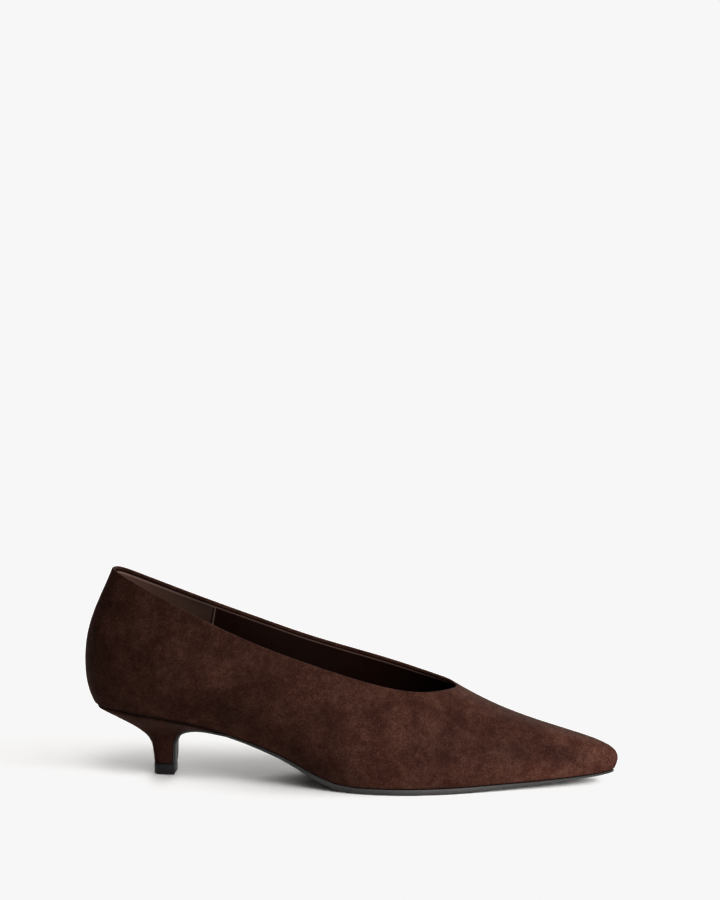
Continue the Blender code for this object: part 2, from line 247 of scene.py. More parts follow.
@dataclass(frozen=True)
class Leather:
    """Smooth lining leather with a fine grain.

    Attributes:
        name: Name of the material.
        colour: Main colour.
        worn: Colour of its paler clouds.
        gloss: Strength of its reflections.
        roughness: Middle of its roughness.
        swing: How far the roughness goes either way.
        cloud_mm: Size of the clouds.
        grain_mm: Size of the grain.
        grain_height_mm: Height of the grain.
    """

    name: str
    colour: str
    worn: str
    gloss: float = 0.15
    roughness: float = 0.6
    swing: float = 0.1
    cloud_mm: float = 9.0
    grain_mm: float = 0.6
    grain_height_mm: float = 0.05

    def material(self) -> bpy.types.Material:
        """Makes the material: clouded colour, a pebbled grain and a dull gloss.

        Returns:
            The material.
        """
        material, tree, shader = new_material(self.name)
        place = add_node(tree, "ShaderNodeTexCoord").outputs["Object"]
        cloud = add_node(
            tree,
            "ShaderNodeTexNoise",
            {"Vector": place, "Scale": 1 / (self.cloud_mm * MM), "Detail": 4.0},
        ).outputs["Fac"]
        grain = add_node(
            tree, "ShaderNodeTexVoronoi", {"Vector": place, "Scale": 1 / (self.grain_mm * MM)}
        ).outputs["Distance"]
        colour = add_node(
            tree,
            "ShaderNodeMix",
            {0: cloud, 6: linear(self.colour), 7: linear(self.worn)},
            data_type="RGBA",
        )
        rough = add_node(
            tree,
            "ShaderNodeMapRange",
            {
                "Value": cloud,
                "To Min": self.roughness - self.swing,
                "To Max": self.roughness + self.swing,
            },
        )
        bump = add_node(
            tree,
            "ShaderNodeBump",
            {"Height": grain, "Strength": 0.3, "Distance": self.grain_height_mm * MM},
        )
        tree.links.new(toned(tree, colour.outputs[2]), shader.inputs["Base Color"])
        tree.links.new(rough.outputs[0], shader.inputs["Roughness"])
        tree.links.new(bump.outputs[0], shader.inputs["Normal"])
        # To the eye: a smooth, slightly waxy skin that stays dull but for a soft glow at a low angle.
        shader.inputs["IOR"].default_value = 1.5
        shader.inputs["Specular IOR Level"].default_value = self.gloss
        return material


@dataclass(frozen=True)
class Rubber:
    """Moulded sole rubber with a satin skin.

    Attributes:
        name: Name of the material.
        colour: Main colour.
        scuffed: Colour of its dusty patches.
        gloss: Strength of its reflections.
        roughness: Middle of its roughness.
        swing: How far the roughness goes either way.
        speck_mm: Size of the skin's specks.
        speck_height_mm: Their height.
        scuff_mm: Size of the patches.
    """

    name: str
    colour: str
    scuffed: str
    gloss: float = 0.3
    roughness: float = 0.5
    swing: float = 0.12
    speck_mm: float = 0.5
    speck_height_mm: float = 0.05
    scuff_mm: float = 7.0

    def material(self) -> bpy.types.Material:
        """Makes the material: nearly even colour, a fine speckled skin and a satin gloss.

        Returns:
            The material.
        """
        material, tree, shader = new_material(self.name)
        place = add_node(tree, "ShaderNodeTexCoord").outputs["Object"]
        scuff = add_node(
            tree,
            "ShaderNodeTexNoise",
            {"Vector": place, "Scale": 1 / (self.scuff_mm * MM), "Detail": 5.0},
        ).outputs["Fac"]
        speck = add_node(
            tree,
            "ShaderNodeTexNoise",
            {"Vector": place, "Scale": 1 / (self.speck_mm * MM), "Detail": 1.0},
        ).outputs["Fac"]
        colour = add_node(
            tree,
            "ShaderNodeMix",
            {0: scuff, 6: linear(self.colour), 7: linear(self.scuffed)},
            data_type="RGBA",
        )
        rough = add_node(
            tree,
            "ShaderNodeMapRange",
            {
                "Value": scuff,
                "To Min": self.roughness - self.swing,
                "To Max": self.roughness + self.swing,
            },
        )
        bump = add_node(
            tree,
            "ShaderNodeBump",
            {"Height": speck, "Strength": 0.15, "Distance": self.speck_height_mm * MM},
        )
        tree.links.new(toned(tree, colour.outputs[2]), shader.inputs["Base Color"])
        tree.links.new(rough.outputs[0], shader.inputs["Roughness"])
        tree.links.new(bump.outputs[0], shader.inputs["Normal"])
        # To the eye: an even, slightly dusty satin that catches a thin line of light along its edges.
        shader.inputs["IOR"].default_value = 1.52
        shader.inputs["Specular IOR Level"].default_value = self.gloss
        return material


def unit(vectors: np.ndarray) -> np.ndarray:
    """The same vectors at length 1."""
    return vectors / np.linalg.norm(vectors, axis=-1, keepdims=True)


def hermite(
    start: np.ndarray, end: np.ndarray, start_slope: np.ndarray, end_slope: np.ndarray, t: np.ndarray
) -> np.ndarray:
    """Points on cubic curves.

    Args:
        start: Where the curves start.
        end: Where they end.
        start_slope: Their slopes at the start, for a run of 1.
        end_slope: Their slopes at the end.
        t: Shares of the way along.

    Returns:
        One point for each share.
    """
    return (
        start * (1 + 2 * t) * (1 - t) ** 2
        + end * t**2 * (3 - 2 * t)
        + start_slope * t * (1 - t) ** 2
        + end_slope * t**2 * (t - 1)
    )


def spread(start: Iterable, within: set | None = None) -> list[set]:
    """Steps along edges from some vertices of a mesh, one ring at a time.

    Args:
        start: The first ring.
        within: Vertices that the steps stay on, or none for the whole mesh.

    Returns:
        The rings, nearest first.
    """
    rings, seen, ring = [], set(), set(start)
    while ring:
        rings.append(ring)
        seen |= ring
        ring = {edge.other_vert(vertex) for vertex in ring for edge in vertex.link_edges} - seen
        if within is not None:
            ring &= within
    return rings


def walk(ring: set) -> list:
    """Puts a closed ring of vertices in order.

    Args:
        ring: Vertices that each share an edge with two others of the ring.

    Returns:
        The vertices from the rearmost one forward along the lateral side.
    """
    order = [min(ring, key=lambda vertex: vertex.co.x)]
    last = None
    while len(order) < len(ring):
        here = order[-1]
        ahead = [edge.other_vert(here) for edge in here.link_edges]
        ahead = [vertex for vertex in ahead if vertex in ring and vertex is not last]
        last = here
        order.append(min(ahead, key=lambda vertex: vertex.co.y) if len(order) == 1 else ahead[0])
    return order


@dataclass
class Columns:
    """Columns down the upper's wall, from the topline to the feather edge.

    Attributes:
        points: Points on the outer face, as [row, column].
        normals: Outward directions there.
    """

    points: np.ndarray
    normals: np.ndarray

    @cached_property
    def reach(self) -> np.ndarray:
        """Distance of each point from the topline, along its column."""
        steps = np.linalg.norm(np.diff(self.points, axis=0), axis=2)
        return np.concatenate([np.zeros((1, steps.shape[1])), np.cumsum(steps, axis=0)])

    @cached_property
    def slopes(self) -> np.ndarray:
        """Direction of each column at its points.

        Returns:
            Directions as [row, column], for a run of 1 metre.
        """
        gaps = np.diff(self.reach, axis=0)[..., None]
        steps = np.diff(self.points, axis=0) / gaps
        inner = (steps[:-1] * gaps[1:] + steps[1:] * gaps[:-1]) / (gaps[:-1] + gaps[1:])
        return np.concatenate([steps[:1], inner, steps[-1:]])

    def ring(self, share: float, offset: float, depth: float | np.ndarray) -> np.ndarray:
        """One point on each column.

        Args:
            share: Share of the way down from the topline to the feather edge.
            offset: Metres further down from there.
            depth: Metres inside the outer face, one number or one for each column.

        Returns:
            The points, one for each column.
        """
        down = share * self.reach[-1] + offset
        row = np.clip((self.reach <= down).sum(axis=0) - 1, 0, len(self.reach) - 2)
        column = np.arange(self.points.shape[1])
        here, after = (row, column), (row + 1, column)
        gap = (self.reach[after] - self.reach[here])[:, None]
        t = (down - self.reach[here])[:, None] / gap
        slopes = gap * self.slopes[here], gap * self.slopes[after]
        point = hermite(self.points[here], self.points[after], *slopes, t)
        normal = unit(self.normals[here] * (1 - t) + self.normals[after] * t)
        return point - normal * np.broadcast_to(depth, down.shape)[:, None]


@dataclass
class Wall:
    """Outer face of the CAD upper as a smooth surface.

    Attributes:
        points: Points as [row, column]. Rows run down from the topline, and columns round the shoe from
            the middle of its back along the lateral side.
    """

    points: np.ndarray

    @classmethod
    def read(cls, node: bpy.types.Object) -> "Wall":
        """Reads the surface from the CAD node.

        Args:
            node: The upper, a wall that is open above and below.

        Returns:
            Its outer face.
        """
        mesh = bmesh.new()
        mesh.from_mesh(node.data)
        bmesh.ops.remove_doubles(mesh, verts=mesh.verts, dist=WELD)
        sharp = [edge for edge in mesh.edges if edge.calc_face_angle(0.0) > np.radians(SHARP_DEG)]
        bmesh.ops.split_edges(mesh, edges=sharp)
        outer = set().union(*spread([max(mesh.verts, key=lambda vertex: abs(vertex.co.y))]))
        rims = {vertex for vertex in outer if vertex.is_boundary}
        topline = set().union(*spread([max(rims, key=lambda vertex: vertex.co.z)], rims))
        rows = [[vertex.co[:] for vertex in walk(ring)] for ring in spread(topline)]
        mesh.free()
        return cls(np.array(rows))

    @cached_property
    def normals(self) -> np.ndarray:
        """Outward directions at the points."""
        along = np.roll(self.points, -1, axis=1) - np.roll(self.points, 1, axis=1)
        return unit(np.cross(np.gradient(self.points, axis=0), along))

    def columns(self, turns: np.ndarray) -> Columns:
        """Smooth columns at any places round the shoe.

        Args:
            turns: Places as shares of the way round from the middle of the back.

        Returns:
            The columns.
        """
        count = self.points.shape[1]
        at = np.asarray(turns) * count
        first = np.floor(at).astype(int)
        t = (at - first)[None, :, None]

        def between(values: np.ndarray) -> np.ndarray:
            """Values between the CAD's own columns."""
            before, here, after, later = (values[:, (first + i) % count] for i in (-1, 0, 1, 2))
            return hermite(here, after, (after - before) / 2, (later - here) / 2, t)

        return Columns(between(self.points), unit(between(self.normals)))

    @cached_property
    def girths(self) -> tuple[np.ndarray, np.ndarray, np.ndarray]:
        """Fine steps twice round the topline.

        Returns:
            Turns, metres from the middle of the back, and x, one of each for each step.
        """
        turns = np.linspace(-1, 1, 2 * FINE_STEPS * self.points.shape[1] + 1)
        line = self.columns(turns).points[0]
        steps = np.linalg.norm(np.diff(line, axis=0), axis=1)
        metres = np.concatenate([[0.0], np.cumsum(steps)])
        return turns, metres - metres[len(metres) // 2], line[:, 0]

    def turns_at(self, girth: np.ndarray) -> np.ndarray:
        """Turns at distances along the topline from the middle of the back, lateral side first."""
        turns, metres, _ = self.girths
        return np.interp(girth, metres, turns)

    def girth_at(self, x: float, side: Side) -> float:
        """Distance along the topline from the middle of the back to a place on one side.

        Args:
            x: The place's x in metres.
            side: The side it is on.

        Returns:
            Metres, positive on the lateral side and negative on the medial one.
        """
        turns, metres, places = self.girths
        if side is Side.LATERAL:
            rear = (turns >= 0) & (turns <= REAR_SHARE)
            return float(np.interp(x, places[rear], metres[rear]))
        rear = (turns <= 0) & (turns >= -REAR_SHARE)
        return float(np.interp(x, places[rear][::-1], metres[rear][::-1]))


def lay_grid(points: np.ndarray, finish: np.ndarray | None = None) -> bmesh.types.BMesh:
    """Lays a grid of faces over points, and welds it where they meet.

    Args:
        points: Places of the vertices, as [row, column].
        finish: Material number of each face, as [row, column].

    Returns:
        The mesh, with its normals outward.
    """
    rows, columns = points.shape[0] - 1, points.shape[1] - 1
    mesh = bmesh.new()
    mesh.loops.layers.uv.new("UVMap")
    bmesh.ops.create_grid(mesh, x_segments=columns, y_segments=rows, size=0.5, calc_uvs=True)
    if finish is not None:
        for face in mesh.faces:
            middle = face.calc_center_median()
            row, column = int((middle.y + 0.5) * rows), int((middle.x + 0.5) * columns)
            face.material_index = int(finish[row, column])
    for vertex in mesh.verts:
        vertex.co = points[round((vertex.co.y + 0.5) * rows), round((vertex.co.x + 0.5) * columns)]
    bmesh.ops.remove_doubles(mesh, verts=mesh.verts, dist=WELD)
    bmesh.ops.recalc_face_normals(mesh, faces=mesh.faces)
    return mesh


def softened_copy(node: bpy.types.Object, edge_mm: float, steps: int) -> bmesh.types.BMesh:
    """Copies a CAD node's mesh and rounds its sharp edges.

    Args:
        node: The CAD node, which stays as it is.
        edge_mm: Width of the rounding.
        steps: Faces across the rounding.

    Returns:
        The rounded mesh.
    """
    mesh = bmesh.new()
    mesh.from_mesh(node.data)
    bmesh.ops.remove_doubles(mesh, verts=mesh.verts, dist=WELD)
    bmesh.ops.join_triangles(
        mesh,
        faces=mesh.faces,
        angle_face_threshold=np.radians(FLAT_DEG),
        angle_shape_threshold=np.radians(SKEW_DEG),
    )
    sharp = [edge for edge in mesh.edges if edge.calc_face_angle(0.0) > np.radians(SHARP_DEG)]
    bmesh.ops.bevel(
        mesh,
        geom=sharp,
        offset=edge_mm * MM,
        offset_type="OFFSET",
        segments=steps,
        profile=0.5,
        affect="EDGES",
        clamp_overlap=True,
        material=-1,
    )
    return mesh


def make_piece(
    name: str,
    mesh: bmesh.types.BMesh,
    finishes: list[bpy.types.Material],
    node: str | None = None,
) -> bpy.types.Object:
    """Turns a mesh into a smooth piece of the shoe.

    Args:
        name: The piece's name.
        mesh: Its mesh, which is used up.
        finishes: Its materials.
        node: The CAD node that it stands for, if any.

    Returns:
        The piece.
    """
    data = bpy.data.meshes.new(name)
    mesh.to_mesh(data)
    mesh.free()
    data.shade_smooth()
    for finish in finishes:
        data.materials.append(finish)
    piece = bpy.data.objects.new(name, data)
    SHOE.objects.link(piece)
    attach(piece, BODY)
    if node:
        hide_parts(node)
    log.info("%s: %d faces", name, len(data.polygons))
    return piece


@dataclass(frozen=True)
class TonePatch:
    """A soft patch where a piece's colour is painted darker or paler: mostly painted light and shade, in
    places brushed nap.

    Attributes:
        x_mm: Its middle, along the shoe.
        z_mm: Its middle, above the floor.
        long_mm: Half its length.
        wide_mm: Half its width.
        rise_deg: Slope of its length, up towards the toe.
        tone: Share of brightness that it adds, or takes away where it is negative.
        side: Side of the shoe that it is on, or none for both.
        blend_mm: How softly it ends at the shoe's middle line.
    """

    x_mm: float
    z_mm: float
    long_mm: float
    wide_mm: float
    rise_deg: float
    tone: float
    side: Side | None = Side.LATERAL
    blend_mm: float = 6.0

    def tones(self, places: np.ndarray) -> np.ndarray:
        """How the patch changes the brightness.

        Args:
            places: Places on the shoe, in metres.

        Returns:
            Share of brightness that it adds at each place.
        """
        rise = np.radians(self.rise_deg)
        ahead, y, up = (places / MM - (self.x_mm, 0.0, self.z_mm)).T
        along = (ahead * np.cos(rise) + up * np.sin(rise)) / self.long_mm
        beside = (up * np.cos(rise) - ahead * np.sin(rise)) / self.wide_mm
        near = np.clip(0.5 + y * self.side.value / self.blend_mm, 0, 1) if self.side else 1.0
        return self.tone * near * np.exp(-(along**2) - beside**2)


def tone_piece(piece: bpy.types.Object, patches: Iterable[TonePatch]) -> None:
    """Stores the patches of a piece where its material reads them.

    Args:
        piece: The piece.
        patches: Its darker and paler patches.
    """
    places = np.array([vertex.co for vertex in piece.data.vertices])
    tones = np.zeros(len(places))
    for patch in patches:
        tones += patch.tones(places)
    attribute = piece.data.attributes.new(TONE, "FLOAT", "POINT")
    attribute.data.foreach_set("value", np.maximum(tones, DARKEST_TONE))


@dataclass
class SuedeUpper:
    """The one-piece suede outside, folded over at the topline and turned in at the feather edge.

    Attributes:
        finish: Its suede.
        shade: A darker copy of its suede, painted shade in the seam over the sole and in the crevice
            between the turned edge and the linings.
        patches: Where its colour is painted darker or paler, mostly as painted light and shade and partly
            as brushed nap.
        thick_mm: Thickness of the suede with its stiffener.
        turn_mm: Radius of the turn into the sole's seam.
        turn_steps: Faces over the turn.
        seam_rows: Rows of the turn that lie in the seam's shadow.
        margin_mm: Corners of the margin that is turned in under the insole: how far in and how far down.
        crevice_mm: Top and foot of the crevice below the topline, and depth of its floor.
        across: Columns round the shoe.
        rows_outside: Rows up the outside.
        rows_inside: Rows down the inside.
        fold_steps: Faces over the fold.
    """

    finish: Suede = field(default_factory=Suede)
    # Painted shade: a darker copy of the suede for the seam and the crevice, where hardly any light
    # reaches, so that they read as dark lines.
    shade: Suede = Suede("crevice_suede", "120805", "1e100b")
    # Painted light and shade, with some brushed nap: darker round the heel, under the instep, in a band
    # along the toe's side and in the seam over the sole; paler low near the floor, along the vamp's ridge
    # and at the toe.
    # Of each patch: middle along and above, half length and width, slope, tone, and side.
    patches: tuple[TonePatch, ...] = (
        TonePatch(-126, 54, 5, 22, 0, -0.3, None),
        TonePatch(-76, 42, 32, 15, 0, -0.28),
        TonePatch(-101, 72, 8, 14, 0, -0.22),
        TonePatch(-88, 58, 14, 7, 0, -0.22),
        TonePatch(-66, 53, 14, 9, 0, 0.22),
        TonePatch(-53, 34.5, 12, 7, -30, -0.38),
        TonePatch(-24, 51, 9, 6, 0, 0.18),
        TonePatch(-13, 14, 20, 8, -25, -0.25),
        TonePatch(20, 5, 14, 5, 0, 0.28),
        TonePatch(16, 19, 15, 13, 0, 0.2),
        TonePatch(45, 26, 11, 9, 0, -0.27),
        TonePatch(59, 41.5, 11, 3, -25, 0.4, None),
        TonePatch(81, 18.5, 13, 4.5, -8, -0.42),
        TonePatch(70, 12.5, 8, 4, 0, -0.22),
        TonePatch(102, 17.5, 9, 3.5, -16, -0.32),
        TonePatch(94, 7.5, 26, 5, -5, 0.48),
        TonePatch(107, 23, 22, 2.6, -21, 0.52, None),
        TonePatch(115, 4, 18, 3.5, 5, 0.36),
        TonePatch(121, 13, 9, 6, 0, 0.25),
        TonePatch(128, 12, 5, 10, 0, 0.42, None),
        TonePatch(92, 16, 6, 10, -10, 0.22),
        TonePatch(-106, 34.7, 16, 0.9, -7, -0.7, None),
        TonePatch(-78, 30.3, 16, 0.9, -12.5, -0.7, None),
    )
    thick_mm: float = 1.4
    turn_mm: float = 1.1
    turn_steps: int = 4
    seam_rows: int = 2
    margin_mm: tuple[tuple[float, float], ...] = ((1.4, 0.05), (3.0, 0.05), (3.0, 0.25), (1.1, 0.25))
    crevice_mm: tuple[float, float, float] = (1.55, 2.1, 0.8)
    across: int = 440
    rows_outside: int = 44
    rows_inside: int = 10
    fold_steps: int = 8

    def profile(self) -> list[tuple[float, float, float]]:
        """The closed outline of the wall's section.

        Returns:
            Share of the way down, millimetres further down and millimetres in, for each point.
        """
        turn, fold = self.turn_mm, self.thick_mm / 2
        angles = np.linspace(np.pi / 2, 0, self.turn_steps + 1)
        foot = [(1.0, turn * (np.sin(a) - 1), turn * (1 - np.cos(a))) for a in angles]
        shares = np.linspace(0, 1, self.rows_outside + 1)[1:-1]
        outside = [(1 - s, fold * s - turn * (1 - s), 0.0) for s in shares]
        angles = np.linspace(0, np.pi, self.fold_steps + 1)
        over = [(0.0, fold * (1 - np.sin(a)), fold * (1 - np.cos(a))) for a in angles]
        top, low, floor = self.crevice_mm
        edge = CREVICE_EDGE_MM
        crevice = [(0.0, top - edge, self.thick_mm), (0.0, top, floor), (0.0, low, floor)]
        shares = np.linspace(0, 1, self.rows_inside + 1)
        inside = [(s, (low + edge) * (1 - s), self.thick_mm) for s in shares]
        return foot + outside + over + crevice + inside + foot[:1]

    def margin(self, columns: Columns) -> list[np.ndarray]:
        """The lasting margin, which lies flat between the insole and the sole.

        Args:
            columns: Columns down the wall.

        Returns:
            Its rings, from the wall's inside in under the insole and back out below.
        """
        edge = columns.ring(1.0, 0.0, 0.0)
        outward = unit(columns.normals[-1] * (1.0, 1.0, 0.0))
        order = np.argsort(edge[:, 0])
        rings = []
        for depth, drop in self.margin_mm:
            ring = edge - outward * depth * MM
            ring[:, 2] = np.interp(ring[:, 0], edge[order, 0], edge[order, 2]) - drop * MM
            rings.append(ring)
        return rings

    def build(self, wall: Wall) -> None:
        """Builds the suede over the wall.

        Args:
            wall: The CAD upper's outer face.
        """
        columns = wall.columns(np.linspace(0, 1, self.across + 1))
        profile = self.profile()
        rings = [columns.ring(share, offset * MM, depth * MM) for share, offset, depth in profile]
        depths = np.array([depth for _, _, depth in profile])
        crevice = (depths[:-1] == self.crevice_mm[2]) | (depths[1:] == self.crevice_mm[2])
        crevice[: self.seam_rows] = True
        margin = self.margin(columns)
        rings[-1:-1] = margin
        crevice = np.append(crevice, np.ones(len(margin), bool))
        mesh = lay_grid(np.array(rings), np.repeat(crevice[:, None], self.across, axis=1))
        finishes = [self.finish.material(), self.shade.material()]
        upper = make_piece("suede_upper", mesh, finishes, "upper")
        tone_piece(upper, self.patches)


@dataclass
class Lining:
    """One lining inside the upper: a thin sheet with rounded edges and a paler rolled border.

    Attributes:
        name: The piece's name.
        finish: Its leather.
        border: Leather of its rolled edge.
        seam: Leather of the groove that its stitches pull in.
        back_mm: Depth of its hidden face inside the suede's outer face.
        thick_mm: Its thickness.
        top_mm: Distance of its top edge below the topline.
        foot_mm: Distance of its lower edge above the feather edge.
        border_mm: Width of the rolled edge.
        roll_mm: How far the roll stands out.
        groove_mm: Width of the groove behind the roll on its upright edges, or 0 for none.
        patches: Where it is darker or paler.
        step_mm: Spacing of its columns.
        rows: Rows below the closely spaced ones.
        fine_mm: Closer spacing near its edges, as distances from them.
    """

    name: str
    finish: Leather
    border: Leather
    seam: Leather
    back_mm: float
    thick_mm: float
    top_mm: float = 2.05
    foot_mm: float = 1.5
    border_mm: float = 0.9
    roll_mm: float = 0.2
    groove_mm: float = 0.0
    patches: tuple[TonePatch, ...] = ()
    step_mm: float = 2.2
    rows: int = 17
    fine_mm: tuple[float, ...] = (0.0, 0.04, 0.12, 0.25, 0.45, 0.7, 0.9, 1.05, 1.3, 1.55, 1.8, 2.4, 3.4)

    def fullness(self, edge: np.ndarray) -> np.ndarray:
        """Share of the full thickness at distances from an edge, in millimetres."""
        near = np.clip(edge / (self.thick_mm / 2), 0, 1)
        return np.sqrt(1 - (1 - near) ** 2)

    def relief(self, edge: np.ndarray) -> np.ndarray:
        """Millimetres that the rolled border stands out, at distances from an edge."""
        return self.roll_mm * np.sin(np.pi * np.clip(edge / self.border_mm, 0, 1))

    def build(self, wall: Wall, start: float, end: float) -> None:
        """Builds the lining along a stretch of the topline.

        Args:
            wall: The CAD upper's outer face.
            start: Where it starts, in metres along the topline from the middle of the back.
            end: Where it ends.
        """
        fine = np.array(self.fine_mm)
        length = (end - start) / MM
        middle = np.linspace(fine[-1], length - fine[-1], round(length / self.step_mm))[1:-1]
        along = np.concatenate([fine, middle, (length - fine)[::-1]])
        columns = wall.columns(wall.turns_at(start + along * MM))
        side_edge = np.minimum(along, length - along)

        # Share of the way down, millimetres further down and distance from the top edge, for each row.
        places = [(0.0, self.top_mm + d, d) for d in fine]
        last = fine[-1]
        shares = np.linspace(0, 1, self.rows + 1)[1:]
        places += [(s, (self.top_mm + last) * (1 - s) - self.foot_mm * s, last) for s in shares]
        inner, hidden, finish = [], [], []
        for share, offset, top_edge in places:
            full = self.fullness(np.minimum(top_edge, side_edge)) * (1.0 if share < 1 else 0.0)
            roll = self.relief(np.minimum(top_edge, side_edge)) * full
            core, half = self.back_mm + self.thick_mm / 2, full * self.thick_mm / 2
            inner.append(columns.ring(share, offset * MM, (core + half + roll) * MM))
            hidden.append(columns.ring(share, offset * MM, (core - half) * MM))
            face_edge = (side_edge[:-1] + side_edge[1:]) / 2
            rolled = np.minimum(top_edge, face_edge) < self.border_mm - WELD / MM
            area = np.where(rolled, LiningArea.BORDER, LiningArea.FACE)
            stitched = (face_edge > self.border_mm) & (face_edge < self.border_mm + self.groove_mm)
            finish.append(np.where(stitched & (top_edge > self.border_mm), LiningArea.SEAM, area))
        points = np.array(inner + hidden[-2::-1])
        back = np.full_like(finish[0], LiningArea.FACE)
        numbers = np.array(finish[:-1] + [back] * (len(hidden) - 1))
        materials = [leather.material() for leather in (self.finish, self.border, self.seam)]
        tone_piece(make_piece(self.name, lay_grid(points, numbers), materials), self.patches)


@dataclass
class Linings:
    """The two linings: a paler one round the heel over a dark one through the vamp.

    Attributes:
        seam_x: Where the heel's lining ends on each side, in metres along the shoe.
        lap_mm: How far it laps over the other.
    """

    seam_x: float = -0.0684
    lap_mm: float = 6.0

    def build(self, wall: Wall) -> None:
        """Builds both linings inside the wall.

        Args:
            wall: The CAD upper's outer face.
        """
        # The rolled edges are paler, which draws a thin light line along each lining.
        pale = Leather("pale_edge_leather", "765a50", "866a60")
        dull = Leather("dull_edge_leather", "4c362f", "5c453d")
        # Stitches pull a groove in, painted dark as dark thread and as painted shade in the groove, which
        # reads as a fine dark line beside the pale edge.
        thread_and_shade = Leather("seam_shadow_leather", "140a06", "1c0f0a", gloss=0.05)
        # The heel's lining is a warm mid brown, and the vamp's is painted nearly black, painted shade for
        # the deep inside of the toe.
        grip = Leather("heel_lining_leather", "53392f", "664b40")
        dark = Leather("vamp_lining_leather", "150804", "1e0e08", gloss=0.04)
        lateral = wall.girth_at(self.seam_x, Side.LATERAL)
        medial = wall.girth_at(self.seam_x, Side.MEDIAL)
        whole = wall.girths[1][-1]
        lap = self.lap_mm * MM
        # Painted light and shade on the heel's lining: darker towards its front ends and under the rim,
        # paler at the back.
        lining_light_and_shade = (
            TonePatch(-73, 66, 15, 40, 0, -0.55, None),
            TonePatch(-84, 83.5, 22, 2.2, -23, -0.25, None),
            TonePatch(-112, 88, 10, 30, 0, 0.2, None),
        )
        Lining(
            "heel_lining", grip, pale, thread_and_shade, back_mm=1.88, thick_mm=0.55, groove_mm=0.75, patches=lining_light_and_shade
        ).build(wall, medial, lateral)
        Lining(
            "vamp_lining", dark, dull, thread_and_shade, back_mm=1.43, thick_mm=0.4, border_mm=0.6, roll_mm=0.1
        ).build(wall, lateral - lap, whole + medial + lap)


@dataclass
class SoftenedNode:
    """A piece that keeps the form of its CAD node, with its edges rounded as a real one's are.

    Attributes:
        node: The CAD node.
        name: The piece's name.
        slot: The record's material slot; not used.
        finish: Its finish.
        edge_mm: Width of the rounding.
        patches: Where it is darker or paler.
        steps: Faces across the rounding.
    """

    node: str
    name: str
    slot: str
    finish: Suede | Leather | Rubber
    edge_mm: float
    patches: tuple[TonePatch, ...] = ()
    steps: int = 3

    def build(self) -> None:
        """Builds the piece in place of its node."""
        mesh = softened_copy(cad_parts[self.node], self.edge_mm, self.steps)
        piece = make_piece(self.name, mesh, [self.finish.material()], self.node)
        tone_piece(piece, self.patches)


@dataclass
class PhotoCamera:
    """The camera, placed so that one point of the shoe falls on its pixel of the photo.

    Attributes:
        azimuth_deg: Turn about the upright, from straight at the lateral side towards the toe.
        pitch_deg: How far it looks down.
        distance: Metres to the point.
        focal_px: Focal length in pixels.
        point: The point, in the frame.
        pixel: Its pixel.
        image: Width and height of the photo in pixels.
        sensor_mm: Sensor size along the photo's longer side.
    """

    azimuth_deg: float = 4.5
    pitch_deg: float = 7.5
    distance: float = 1.3
    focal_px: float = 2652.0
    point: tuple[float, float, float] = (0.0, 0.00025, 0.030)
    pixel: tuple[float, float] = (350.6, 715.5)
    image: tuple[int, int] = (720, 900)
    sensor_mm: float = 36.0

    def build(self) -> None:
        """Makes the scene's camera."""
        turn, pitch = np.radians(self.azimuth_deg), np.radians(self.pitch_deg)
        right = np.array([np.cos(turn), np.sin(turn), 0.0])
        back = np.array([np.sin(turn) * np.cos(pitch), -np.cos(turn) * np.cos(pitch), np.sin(pitch)])
        up = np.cross(back, right)
        across = self.pixel[0] - self.image[0] / 2
        down = self.pixel[1] - self.image[1] / 2
        ray = unit(across * right - down * up - self.focal_px * back)
        data = bpy.data.cameras.new("photo_camera")
        data.sensor_width = self.sensor_mm
        data.lens = self.focal_px * self.sensor_mm / max(self.image)
        camera = bpy.data.objects.new("photo_camera", data)
        turned = Matrix(np.stack([right, up, back], axis=1).tolist()).to_4x4()
        place = Vector(np.array(self.point) - self.distance * ray)
        camera.matrix_world = Matrix.Translation(place) @ turned
        bpy.context.scene.collection.objects.link(camera)
        bpy.context.scene.camera = camera


@dataclass(frozen=True)
class SoftBox:
    """A round soft light that shines on the shoe alone, so that the floor stays evenly white.

    Attributes:
        name: Its name.
        place: Where it stands, in metres.
        power: Its power in watts.
        size: Its width in metres.
        aim: The point that it faces.
    """

    name: str
    place: tuple[float, float, float]
    power: float
    size: float = 0.25
    aim: tuple[float, float, float] = (0.05, 0.0, 0.03)

    def build(self, receivers: bpy.types.Collection) -> None:
        """Makes the light.

        Args:
            receivers: The objects that it lights.
        """
        lamp = bpy.data.lights.new(self.name, "AREA")
        lamp.shape = "DISK"
        lamp.size = self.size
        lamp.energy = self.power
        light = bpy.data.objects.new(self.name, lamp)
        light.location = self.place
        light.rotation_mode = "QUATERNION"
        light.rotation_quaternion = (Vector(self.place) - Vector(self.aim)).to_track_quat("Z", "Y")
        light.visible_camera = False
        light.light_linking.receiver_collection = receivers
        bpy.context.scene.collection.objects.link(light)


